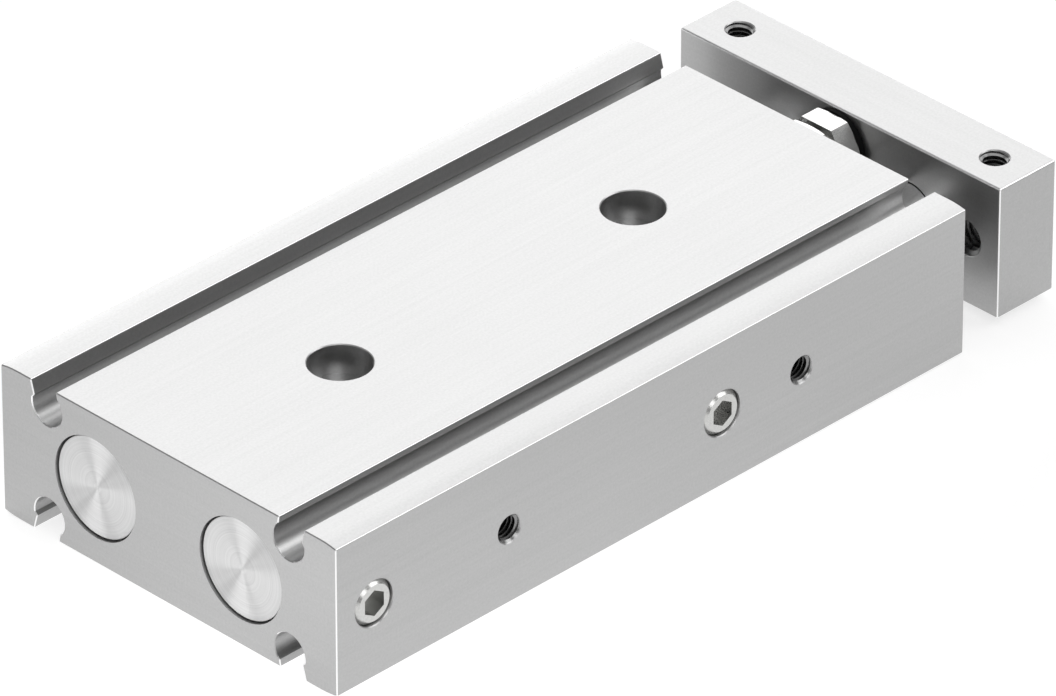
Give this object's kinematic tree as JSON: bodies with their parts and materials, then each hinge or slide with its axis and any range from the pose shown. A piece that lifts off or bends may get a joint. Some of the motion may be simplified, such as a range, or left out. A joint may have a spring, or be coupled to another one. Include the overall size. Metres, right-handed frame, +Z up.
{
  "type": "double piston cylinder",
  "caption": "Compact twin-rod pneumatic cylinder: flat aluminium body with parallel bores, sensor grooves and side ports, driving a yoke plate with an adjustable stop bolt.",
  "frame": {"origin": "centre of the housing's bottom mounting face, midway between the two through holes", "axes": "+X along the rods from the rear caps to the yoke plate, +Y to the open air ports' side, +Z up from the mounting face"},
  "size_m": [0.1, 0.046, 0.017],
  "materials": {
    "housing_aluminium": "fine brushed and clear anodised",
    "turned_aluminium": "face-turned, bright",
    "guide_aluminium": "turned",
    "plate_aluminium": "fine brushed and clear anodised",
    "rod_chrome": "ground and hard chromed",
    "bright_steel": "zinc plated",
    "plug_steel": "nickel plated",
    "socket_steel": "zinc plated",
    "spring_steel": "phosphated spring steel",
    "bush_bronze": "sintered bronze",
    "seal_rubber": "black elastomer",
    "bumper_rubber": "dark polyurethane",
    "magnet_compound": "plastic-bonded magnet",
    "washer_black": "black bonded washer"
  },
  "bodies": {
    "cylinder_body": {"housing": "housing_aluminium", "rear_cap_left": "turned_aluminium", "rear_cap_right": "turned_aluminium", "rear_cap_o_rings": "seal_rubber", "rod_guide_left": "guide_aluminium", "rod_guide_right": "guide_aluminium", "guide_o_rings": "seal_rubber", "guide_bushes": "bush_bronze", "rod_seals": "seal_rubber", "retaining_rings": "spring_steel", "front_bumpers": "bumper_rubber", "port_plugs": "plug_steel"},
    "rod_slide": {"yoke_plate": "plate_aluminium", "piston_rod_left": "rod_chrome", "piston_rod_right": "rod_chrome", "piston_front_left": "guide_aluminium", "piston_front_right": "guide_aluminium", "piston_rear_left": "guide_aluminium", "piston_rear_right": "guide_aluminium", "piston_magnets": "magnet_compound", "piston_seals": "seal_rubber", "piston_o_rings": "seal_rubber", "rear_bumpers": "bumper_rubber", "piston_nuts": "bright_steel", "plate_screws": "socket_steel", "stop_bolt": "bright_steel", "lock_nut": "bright_steel", "lock_washer": "washer_black"}
  },
  "joints": [
    {"name": "rod_stroke", "type": "slide", "parent": "cylinder_body", "child": "rod_slide", "axis": [1, 0, 0], "range_m": [0, 0.03]}
  ]
}
